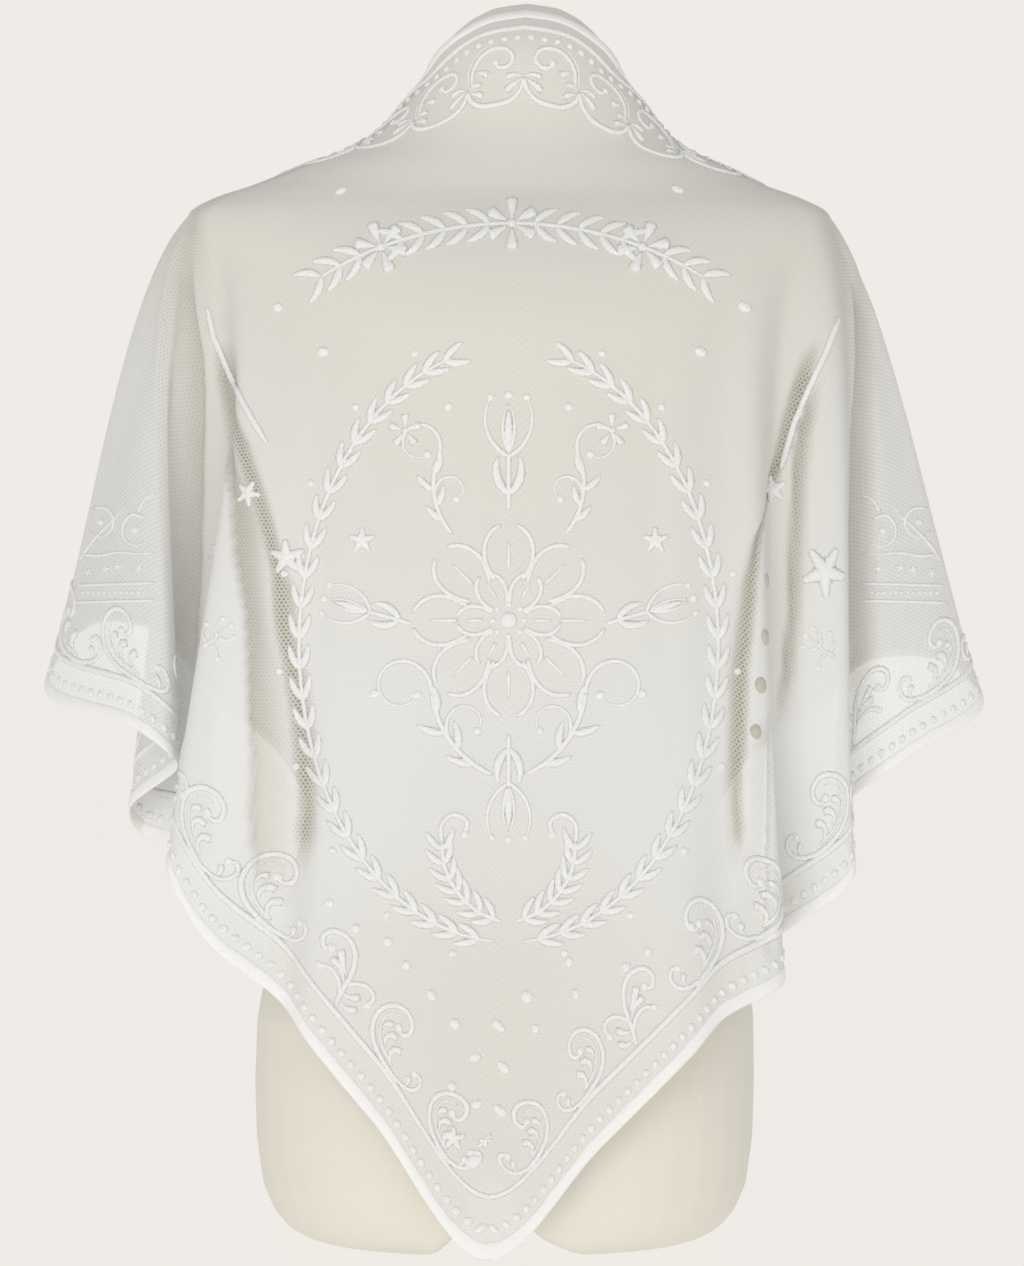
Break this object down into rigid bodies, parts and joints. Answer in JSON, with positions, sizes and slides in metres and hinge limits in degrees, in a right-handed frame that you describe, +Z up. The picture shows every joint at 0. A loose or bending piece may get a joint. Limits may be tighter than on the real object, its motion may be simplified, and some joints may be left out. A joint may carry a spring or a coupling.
{
  "type": "mantilla on a dress form",
  "caption": "Triangular net mantilla with raised embroidery and a worked edging, draped over the shoulders of a smooth limbless dress form that it stands on.",
  "frame": {"origin": "on the floor under the middle of the whole object's bounding box", "axes": "+Z up, -Y towards the wearer's back and the cloth's hanging point, +X to the right as the back is seen"},
  "size_m": [0.5845, 0.2441, 0.769],
  "materials": {
    "net": "sheer ivory net with a soft matte face",
    "edging": "dense white satin stitch",
    "form": "smooth cream with a faint sheen"
  },
  "bodies": {
    "root": {"net_panel": "net", "edging_long": "edging", "edging_left": "edging", "edging_right": "edging", "border_cord": "edging", "dress_form": "form"}
  },
  "joints": []
}
